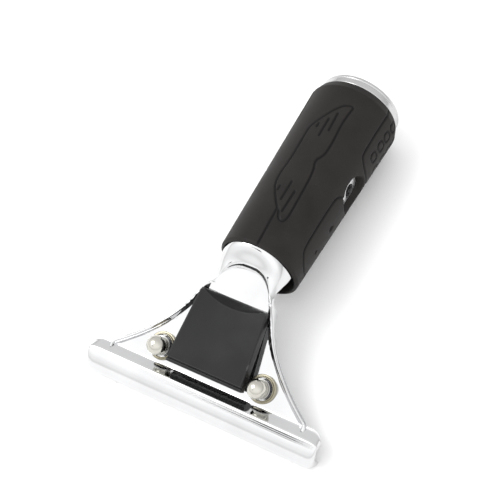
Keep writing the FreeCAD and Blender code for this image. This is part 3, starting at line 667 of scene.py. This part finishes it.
def build_grip():
    """Rubber sleeve: moulded grooves, pits, loops and an open window on each side."""
    angles = grip_angles()
    outer_y = np.arange(GRIP_TAIL - 0.45, MOUTH + 0.5, -0.36)
    degrees, y = np.meshgrid(angles, outer_y)
    turned = np.where(degrees > 180, degrees - 360, degrees)
    side = np.abs(turned)
    cut = groove_share(turned, y, top_panel_lines(), GROOVE_HALF)
    cut = np.maximum(cut, groove_share(side, y, side_panel_lines(), GROOVE_HALF))
    pit = dimples(side, y)
    inside = window_depth(degrees, y)
    angle, y, inside = snap_to_window(degrees, y, inside)
    radius = grip_radius(y) - GROOVE_DEPTH * cut - PIT_DEPTH * pit - edge_drop(y - MOUTH, MOUTH_ROUNDING)
    near = np.clip((inside + WINDOW_ROUNDING) / WINDOW_ROUNDING, 0, 1)
    sink = WINDOW_SINK * (1 - np.sqrt(np.clip(1 - near ** 2, 0, 1)))
    radius = np.where(inside > 0.01, TUBE_RADIUS - 0.3, radius - sink)
    groove = np.maximum(cut, pit)
    ends = grip_end_rows()
    rings, marks = join_grip_rows(angle, y, radius, groove, angles, ends)
    rows, columns = rings.shape[:2]
    faces = grid_quads(rows, columns, wrap_rows=True, wrap_columns=True)
    gone = window_gap(rings)
    keep = [f for f in faces if not gone[f].all()]
    grip = grip_object(rings, keep, marks)
    return finish_piece(grip, "black_rubber", "handle", "rubber_grip")


def snap_to_window(degrees, y, inside):
    """Moves points near the window's outline onto it, so its edge is a clean curve."""
    angle, along = degrees.copy(), y.copy()
    near = np.abs(inside) < 0.2
    small = 0.02
    per_degree = np.radians(1) * DRAWN_RADIUS
    for _ in range(3):
        by_angle = (window_depth(angle + small, along) - window_depth(angle - small, along)) / (2 * small)
        by_angle = by_angle / per_degree
        by_y = (window_depth(angle, along + small) - window_depth(angle, along - small)) / (2 * small)
        size = np.maximum(by_angle ** 2 + by_y ** 2, 0.3)
        depth = window_depth(angle, along)
        move = np.where(near, -depth, 0)
        angle += move * by_angle / size / per_degree
        along += move * by_y / size
    return angle, along, np.where(near, 0.0, inside)


def grip_end_rows():
    """Rows (radius, y) that close the sleeve: mouth edge, bore and tail edge."""
    mouth = [(15.75, -87.75), (15.6, -87.92), (15.45, -88.0), (15.3, -87.9), (15.25, -87.7)]
    bore = [(15.22, y) for y in np.linspace(MOUTH + 1, GRIP_TAIL - 1, 55)]
    tail = [(15.3, -5.05), (16.4, -5.0), (17.5, -5.0), (17.8, -5.1)]
    return mouth + bore + tail


def join_grip_rows(angle, y, radius, groove, angles, ends):
    """Outer rows and end rows as one closed set of rings, with the groove value of each point."""
    turn = np.radians(angle)
    outer = np.stack([radius * np.sin(turn), y, radius * np.cos(turn)], -1)
    turn = np.radians(angles)
    extra = np.array([np.stack([r * np.sin(turn), np.full_like(turn, level), r * np.cos(turn)], -1)
                      for r, level in ends])
    marks = np.concatenate([groove, np.zeros(extra.shape[:2])])
    return np.concatenate([outer, extra]), marks


def window_gap(rings):
    """Points that lie in the opening, below the sleeve's wall."""
    flat = rings.reshape(-1, 3)
    run = np.maximum(np.abs(flat[:, 1] - WINDOW_Y) - WINDOW_HALF_RUN, 0)
    inside = WINDOW_RADIUS - np.hypot(flat[:, 2], run)
    low = np.hypot(flat[:, 0], flat[:, 2]) < TUBE_RADIUS + 0.1
    return (inside > 0.3) & low & (np.abs(flat[:, 0]) > 8)


def grip_object(rings, faces, marks):
    """Mesh of the sleeve with its groove values."""
    mesh = bpy.data.meshes.new("grip_sleeve")
    corners = (rings.reshape(-1, 3) * MM).tolist()
    mesh.from_pydata(corners, [], [list(map(int, f)) for f in faces])
    value = mesh.attributes.new("groove", "FLOAT", "POINT")
    value.data.foreach_set("value", marks.reshape(-1).astype(np.float32))
    mesh.update()
    thing = bpy.data.objects.new("grip_sleeve", mesh)
    bpy.context.scene.collection.objects.link(thing)
    tidy_mesh(thing)
    drop_loose(thing)
    thing.data.shade_smooth()
    thing.data.set_sharp_from_angle(angle=math.radians(60))
    return thing


def drop_loose(thing):
    """Removes points without faces."""
    work = bmesh.new()
    work.from_mesh(thing.data)
    loose = [v for v in work.verts if not v.link_faces]
    bmesh.ops.delete(work, geom=loose, context="VERTS")
    work.to_mesh(thing.data)
    work.free()


# ---------------------------------------------------------------- turned pieces


def build_ring():
    """Rolled end ring with two bands and a fine line between them."""
    profile = rounded([(15.2, -5.0, 0), (16.9, -5.0, 0.15), (17.3, -4.6, 0.3), (17.3, -2.35, 0.12),
                       (17.02, -2.15, 0.1), (17.02, -1.95, 0.1), (17.26, -1.75, 0.12), (17.22, -0.95, 0.6),
                       (16.7, -0.2, 0.6), (15.6, 0.0, 0.4), (13.4, -0.05, 0.3), (12.75, -0.35, 0.25),
                       (12.75, -1.0, 0), (15.2, -1.0, 0)])
    points, faces = lathe(profile, 192)
    points = points[..., [0, 2, 1]]
    ring = make_object("end_ring_rolled", points, faces, 50)
    return finish_piece(ring, "rolled_aluminium", "handle", "end_ring")


CLAMP_PROFILES = {
    "spring_cup": ("passivated_steel", "handle", [
        (1.56, -3.1, 0.05), (4.9, -3.1, 0.4), (4.9, 0.0, 0.05), (5.6, 0.0, 0.1), (5.6, 0.75, 0.35),
        (5.35, 0.9, 0.25), (4.95, 0.92, 0.1), (4.88, 1.6, 0.1), (4.7, 1.8, 0.2), (4.45, 1.8, 0.15),
        (4.3, 1.6, 0.15), (4.3, -2.4, 0.3), (1.56, -2.4, 0.05)]),
    "spring_washer": ("zinc_steel", "clamp", [
        (1.5, 2.8, 0.02), (3.9, 2.8, 0.15), (4.0, 3.1, 0.2), (3.9, 3.4, 0.15), (1.5, 3.4, 0.02)]),
    "dome_nut": ("nickel_plate", "clamp", [
        (1.5, 3.4, 0.02), (3.3, 3.4, 0.15), (3.38, 3.7, 0.15), (3.1, 4.0, 0.3), (3.1, 4.25, 0.3)]),
}
STUD_PLACE = (21.7, 6.8)
DOME_RADIUS = 3.85
DOME_CENTRE = 6.6
DOME_WAIST = 4.35


def dome_line():
    """Ball of the dome nut from its waist to the pole, then back down the thread."""
    start = math.acos((DOME_WAIST - DOME_CENTRE) / DOME_RADIUS)
    turn = np.linspace(start, 0.0, 36)
    ball = [(DOME_RADIUS * math.sin(t), DOME_CENTRE + DOME_RADIUS * math.cos(t)) for t in turn]
    return np.array(ball + [(0.0, DOME_CENTRE), (1.5, DOME_CENTRE)])


def build_clamp_pieces():
    """Cups, washers and dome nuts of both sides."""
    for kind, (slot, body, corners) in CLAMP_PROFILES.items():
        profile = rounded(corners)
        if kind == "dome_nut":
            profile = np.concatenate([profile, dome_line()])
        for name, side in SIDES:
            points, faces = lathe(profile)
            points = points + np.array([side * STUD_PLACE[0], STUD_PLACE[1], 0.0])
            piece = make_object(kind + "_" + name + "_turned", head_to_row(points), faces, 45)
            finish_piece(piece, slot, body, kind + "_" + name)


# ---------------------------------------------------------------- release pad

PAD_FRONT = 3.0
PAD_REAR = 33.6
PAD_FRONT_HALF = 16.3
PAD_REAR_HALF = 14.3
PAD_FRONT_HEIGHT = 7.9
PAD_REAR_HEIGHT = 4.3
PAD_SINK = 0.75
PAD_STEP_DROP = 0.8
PAD_GROOVE_DEPTH = 0.55
PAD_CORNER = 1.4
PAD_WALL = 1.4
PAD_FRONT_WALL = 2.4
PAD_REAR_WALL = 1.6
SCOOP_RADIUS = 22.0
SCOOP_CENTRE = 56.2
SCOOP_BEGINS = 27.5
SCOOP_HALF = 14.0
BOSS_RADIUS = 3.0
BOSS_TIP = -5.55
BOSS_TOP = 5.2
BOSS_Y = 9.5
RIB_X = 8.0
RIB_HALF = 0.8


def pad_half(y):
    """Half width of the pad."""
    return PAD_FRONT_HALF + (PAD_REAR_HALF - PAD_FRONT_HALF) * (y - PAD_FRONT) / (PAD_REAR - PAD_FRONT)


def pad_top(y):
    """Height of the pad's sloping top at its edges."""
    fall = (PAD_REAR_HEIGHT - PAD_FRONT_HEIGHT) * (y - PAD_FRONT) / (PAD_REAR - PAD_FRONT)
    return PAD_FRONT_HEIGHT + fall


def pad_saddle(share, y):
    """How far the top sinks between its sides, more towards the rear."""
    return PAD_SINK * (1 - share ** 2) * smooth_step(PAD_FRONT + 2, PAD_REAR - 4, y)


def pad_step(y):
    """Drop of the front step and its groove below the top."""
    ahead = y - PAD_FRONT
    step = PAD_STEP_DROP * (1 - smooth_step(1.75, 1.95, ahead))
    groove = PAD_GROOVE_DEPTH * smooth_step(1.15, 1.3, ahead) * (1 - smooth_step(1.7, 1.85, ahead))
    return step + groove


def scoop_y(x, z):
    """Rear wall of the pad where the thumb scoop meets it."""
    radius = SCOOP_RADIUS + z
    return np.minimum(PAD_REAR, SCOOP_CENTRE - np.sqrt(np.maximum(radius ** 2 - x ** 2, 0.01)))


def pad_rear_line(share):
    """Plan position of the pad's rear top edge for each share of its width."""
    y = np.full_like(share, PAD_REAR - 3)
    for _ in range(12):
        x = share * pad_half(y)
        y = scoop_y(x, pad_top(y) - pad_saddle(share, y))
    corner = np.clip((np.abs(share) - 0.88) / 0.12, 0, 1)
    return y - PAD_CORNER * (1 - np.sqrt(np.clip(1 - corner ** 2, 0, 1)))


def edge_drop(distance, radius):
    """Rounding of an edge: how far the surface drops near it."""
    into = np.clip(1 - distance / radius, 0, 1)
    return radius * (1 - np.sqrt(np.clip(1 - into ** 2, 0, 1)))


def pad_skin():
    """Grid of head frame points on the pad's top."""
    turn = np.linspace(0, math.pi / 2, 7)
    near = 0.05 * (1 - np.sin(turn))
    share = np.concatenate([-1 + near[::-1], np.linspace(-0.93, 0.93, 45), 1 - near])
    ahead = np.array([0, 0.03, 0.09, 0.18, 0.3, 0.45, 0.7, 0.95, 1.12, 1.18, 1.24, 1.32, 1.5, 1.68, 1.74,
                      1.8, 1.86, 1.92, 2.0, 2.15, 2.4])
    behind = np.array([0.6, 0.35, 0.22, 0.12, 0.05, 0.015, 0.0])
    rear = pad_rear_line(share)
    rows = []
    middle = np.linspace(0, 1, 42)[1:-1]
    for gap in ahead:
        rows.append(np.full_like(share, PAD_FRONT + gap))
    for part in middle:
        rows.append((PAD_FRONT + ahead[-1]) * (1 - part) + (rear - behind[0]) * part)
    for gap in behind:
        rows.append(rear - gap)
    y = np.array(rows)
    u = np.repeat(share[None, :], len(rows), 0)
    x = u * pad_half(y)
    z = pad_top(y) - pad_saddle(u, y) - pad_step(y)
    z = z - edge_drop(pad_half(y) - np.abs(x), 0.7) - edge_drop(y - PAD_FRONT, 0.35)
    z = z - edge_drop(rear[None, :] - y, 0.3)
    return np.stack([x, y, z], -1)


def border(rows, columns):
    """Indices round the edge of a grid, in order."""
    front = [(0, c) for c in range(columns)]
    right = [(r, columns - 1) for r in range(1, rows)]
    back = [(rows - 1, c) for c in range(columns - 2, -1, -1)]
    left = [(r, 0) for r in range(rows - 2, 0, -1)]
    return front + right + back + left


def pad_foot(x, y):
    """Lower edge of the pad's walls."""
    foot = np.interp(y, [3.0, 25.0, 29.6, 30.6, 34.0], [2.8, 0.4, 0.4, 2.2, 2.2])
    return np.where((y > 29.6) & (np.abs(x) < 12.2), 0.4, foot)


def pad_walls(edge, steps=7):
    """Rings from the top's edge down to the foot; the rear follows the scoop."""
    rings = []
    x, y0, z0 = edge[:, 0], edge[:, 1], edge[:, 2]
    rear = y0 > SCOOP_BEGINS
    inner = np.abs(x) < SCOOP_HALF
    foot = pad_foot(x, y0)
    for step in range(1, steps + 1):
        z = z0 + (foot - z0) * step / steps
        y = np.where(rear & inner & (y0 < PAD_REAR), np.maximum(y0, np.minimum(scoop_y(x, z), PAD_REAR)), y0)
        rings.append(np.stack([x, y, z], -1))
    return rings


def pad_hollow(skin):
    """Grid of head frame points on the pad's ceiling, inside its walls."""
    hollow = skin.copy()
    hollow[..., 0] *= 1 - PAD_WALL / 15.0
    y = np.clip(skin[..., 1], PAD_FRONT + PAD_FRONT_WALL, None)
    y = np.minimum(y, pad_rear_line(np.zeros(1))[0] - PAD_REAR_WALL)
    hollow[..., 1] = y
    hollow[..., 2] = pad_top(y) - PAD_WALL - PAD_SINK
    return hollow


def build_pad():
    """Hollow hinged pad with its pusher boss and pivot ribs."""
    skin = pad_skin()
    rows, columns = skin.shape[:2]
    loop = border(rows, columns)
    edge = np.array([skin[r, c] for r, c in loop])
    points = [skin.reshape(-1, 3)]
    faces = [tuple(f) for f in grid_quads(rows, columns)]
    count = rows * columns
    last = [r * columns + c for r, c in loop]
    rings = pad_walls(edge)
    hollow = pad_hollow(skin)
    inner_foot = np.array([hollow[r, c] for r, c in loop])
    inner_foot[:, 2] = pad_foot(inner_foot[:, 0], inner_foot[:, 1])
    rings.append(inner_foot)
    for ring in rings:
        fresh = [count + i for i in range(len(loop))]
        points.append(ring)
        faces += bridge(last, fresh)
        last = fresh
        count += len(loop)
    points.append(hollow.reshape(-1, 3))
    inner_loop = [count + r * columns + c for r, c in loop]
    faces += bridge(last, inner_loop)
    faces += [tuple(f) for f in grid_quads(rows, columns, first=count)]
    body = make_object("pad_body", head_to_row(np.concatenate(points)), faces, 48)
    pad = join("release_pad_moulded", [body, pad_boss()] + pad_ribs())
    return finish_piece(pad, "black_moulding", "pad", "release_pad")


def bridge(first, second):
    """Quads between two rings of the same length."""
    count = len(first)
    return [(first[i], first[(i + 1) % count], second[(i + 1) % count], second[i]) for i in range(count)]


def pad_boss():
    """Round-ended pusher under the pad."""
    turn = np.linspace(0, math.pi / 2, 12)
    tip = [(BOSS_RADIUS * math.sin(t), BOSS_TIP + BOSS_RADIUS - BOSS_RADIUS * math.cos(t)) for t in turn]
    profile = np.array(tip + [(BOSS_RADIUS, 0.0), (BOSS_RADIUS, BOSS_TOP), (0.0, BOSS_TOP)])
    points, faces = lathe(profile, 64, closed=False)
    points = points + np.array([0, BOSS_Y, 0])
    return make_object("pad_boss", head_to_row(points), faces, 45)


def pad_ribs():
    """Two ribs that take the pivot pin."""
    ribs = []
    for _, side in SIDES:
        outline = rounded([(22.6, 0.5, 0.6), (27.4, 0.5, 0.6), (27.4, 3.4, 0.3), (22.6, 3.9, 0.3)])
        points = []
        for x in (side * RIB_X - RIB_HALF, side * RIB_X + RIB_HALF):
            points.append(np.stack([np.full(len(outline), x), outline[:, 0], outline[:, 1]], -1))
        count = len(outline)
        faces = bridge(list(range(count)), list(range(count, 2 * count)))
        faces += [tuple(range(count)), tuple(range(2 * count - 1, count - 1, -1))]
        ribs.append(make_object("pad_rib", head_to_row(np.concatenate(points)), faces, 30))
    return ribs


# ---------------------------------------------------------------- stage, light, camera

CAMERA_LENS = 98.67
CAMERA_PLACE = (180.44, -313.94, 433.91)
CAMERA_RIGHT = (0.86809, 0.48243, -0.11700)
CAMERA_UP = (-0.34611, 0.75716, 0.55400)
SKY_STOPS = ((0.0, 0.9), (0.46, 0.88), (0.52, 0.72), (0.62, 0.85), (0.78, 1.0), (1.0, 1.0))
FRONT_STRENGTH = 1.55
REAR_STRENGTH = 0.98


def place_camera():
    """Camera at the angle from which the handle is seen."""
    data = bpy.data.cameras.new("camera")
    data.lens = CAMERA_LENS
    data.sensor_width = 36.0
    data.clip_start = 0.01
    camera = bpy.data.objects.new("camera", data)
    bpy.context.scene.collection.objects.link(camera)
    right, up = Vector(CAMERA_RIGHT), Vector(CAMERA_UP)
    back = right.cross(up)
    turn = Matrix((right, up, back)).transposed().to_4x4()
    camera.matrix_world = Matrix.Translation(Vector(CAMERA_PLACE) * MM) @ turn
    bpy.context.scene.camera = camera


def build_floor():
    """Plain white floor that touches the lip's hem and the tail of the sleeve."""
    half = 3.0
    low, high = (-0.1405, -0.02876), (-0.0086, -0.01925)
    slope = (high[1] - low[1]) / (high[0] - low[0])
    mesh = bpy.data.meshes.new("floor")
    corners = [(x, y, low[1] + slope * (y - low[0])) for x, y in
               ((-half, -half), (half, -half), (half, half), (-half, half))]
    mesh.from_pydata(corners, [], [(0, 1, 2, 3)])
    floor = bpy.data.objects.new("floor", mesh)
    bpy.context.scene.collection.objects.link(floor)
    paint = Paint("floor_white", (0.95, 0.95, 0.95), 0.0, 0.8)
    tone = paint.noise(8, 2)
    paint.to("Base Color", paint.colours(paint.spread(tone, 0, 1), (0.94, 0.94, 0.94), (0.95, 0.95, 0.95)))
    floor.data.materials.append(paint.material)


def build_flag():
    """Dark tapered flag high in front of the handle; it draws a fine line on the polished lip."""
    mesh = bpy.data.meshes.new("flag")
    corners = [(-0.27, -0.58, 0.40), (-0.12, -0.58, 0.31), (-0.12, -0.58, 0.45)]
    mesh.from_pydata(corners, [], [(0, 1, 2)])
    flag = bpy.data.objects.new("flag", mesh)
    bpy.context.scene.collection.objects.link(flag)
    paint = Paint("flag_black", (0.02, 0.02, 0.02), 0.0, 0.9)
    tone = paint.noise(8, 2)
    paint.to("Base Color", paint.colours(paint.spread(tone, 0, 1), (0.02, 0.02, 0.02), (0.03, 0.03, 0.03)))
    flag.data.materials.append(paint.material)


def add_light(name, place, aim, size, power):
    """Soft rectangular lamp."""
    data = bpy.data.lights.new(name, "AREA")
    data.shape = "RECTANGLE"
    data.size, data.size_y = size
    data.energy = power
    lamp = bpy.data.objects.new(name, data)
    bpy.context.scene.collection.objects.link(lamp)
    lamp.location = place
    direction = Vector(aim) - Vector(place)
    lamp.rotation_euler = direction.to_track_quat("-Z", "Y").to_euler()
    return lamp


def build_world():
    """Bright surroundings: brightest in front, weaker behind the tail and near the horizon."""
    world = bpy.data.worlds.new("studio")
    bpy.context.scene.world = world
    world.use_nodes = True
    nodes, links = world.node_tree.nodes, world.node_tree.links
    place = nodes.new("ShaderNodeTexCoord").outputs["Generated"]
    grade_by_height(nodes, links, place)
    grade_by_direction(nodes, links, place)


def grade_by_height(nodes, links, place):
    """Grey level of the surroundings, from straight down to straight up."""
    split = nodes.new("ShaderNodeSeparateXYZ")
    links.new(place, split.inputs["Vector"])
    ramp = nodes.new("ShaderNodeValToRGB")
    ramp.color_ramp.interpolation = "EASE"
    elements = ramp.color_ramp.elements
    while len(elements) < len(SKY_STOPS):
        elements.new(0.5)
    for element, (position, level) in zip(elements, SKY_STOPS):
        element.position = position
        element.color = (level, level, level, 1)
    height = nodes.new("ShaderNodeMapRange")
    height.inputs["From Min"].default_value = -1.0
    links.new(split.outputs["Z"], height.inputs["Value"])
    links.new(height.outputs["Result"], ramp.inputs["Fac"])
    links.new(ramp.outputs["Color"], nodes["Background"].inputs["Color"])


def grade_by_direction(nodes, links, place):
    """Strength of the surroundings, from the head's side to the tail's side."""
    across = nodes.new("ShaderNodeVectorMath")
    across.operation = "DOT_PRODUCT"
    across.inputs[1].default_value = (0.1, 0.99, 0.0)
    links.new(place, across.inputs[0])
    fall = nodes.new("ShaderNodeMapRange")
    fall.inputs["From Min"].default_value = -0.3
    fall.inputs["From Max"].default_value = 0.5
    fall.inputs["To Min"].default_value = FRONT_STRENGTH
    fall.inputs["To Max"].default_value = REAR_STRENGTH
    links.new(across.outputs["Value"], fall.inputs["Value"])
    links.new(fall.outputs["Result"], nodes["Background"].inputs["Strength"])


def build_stage():
    """Floor, surroundings, flag, lamp and camera."""
    build_floor()
    build_world()
    build_flag()
    add_light("key", (-0.55, -0.35, 0.9), (0, -0.07, 0), (0.6, 0.6), 4.4)
    bpy.context.scene.view_settings.view_transform = "Standard"
    place_camera()


# ---------------------------------------------------------------- everything

build_stage()
build_jaw()
build_grip()
build_ring()
build_clamp_pieces()
build_pad()
for part in frame["record"]["subparts"]:
    wear(frame["nodes"][part["node"]], part["material_slot"])
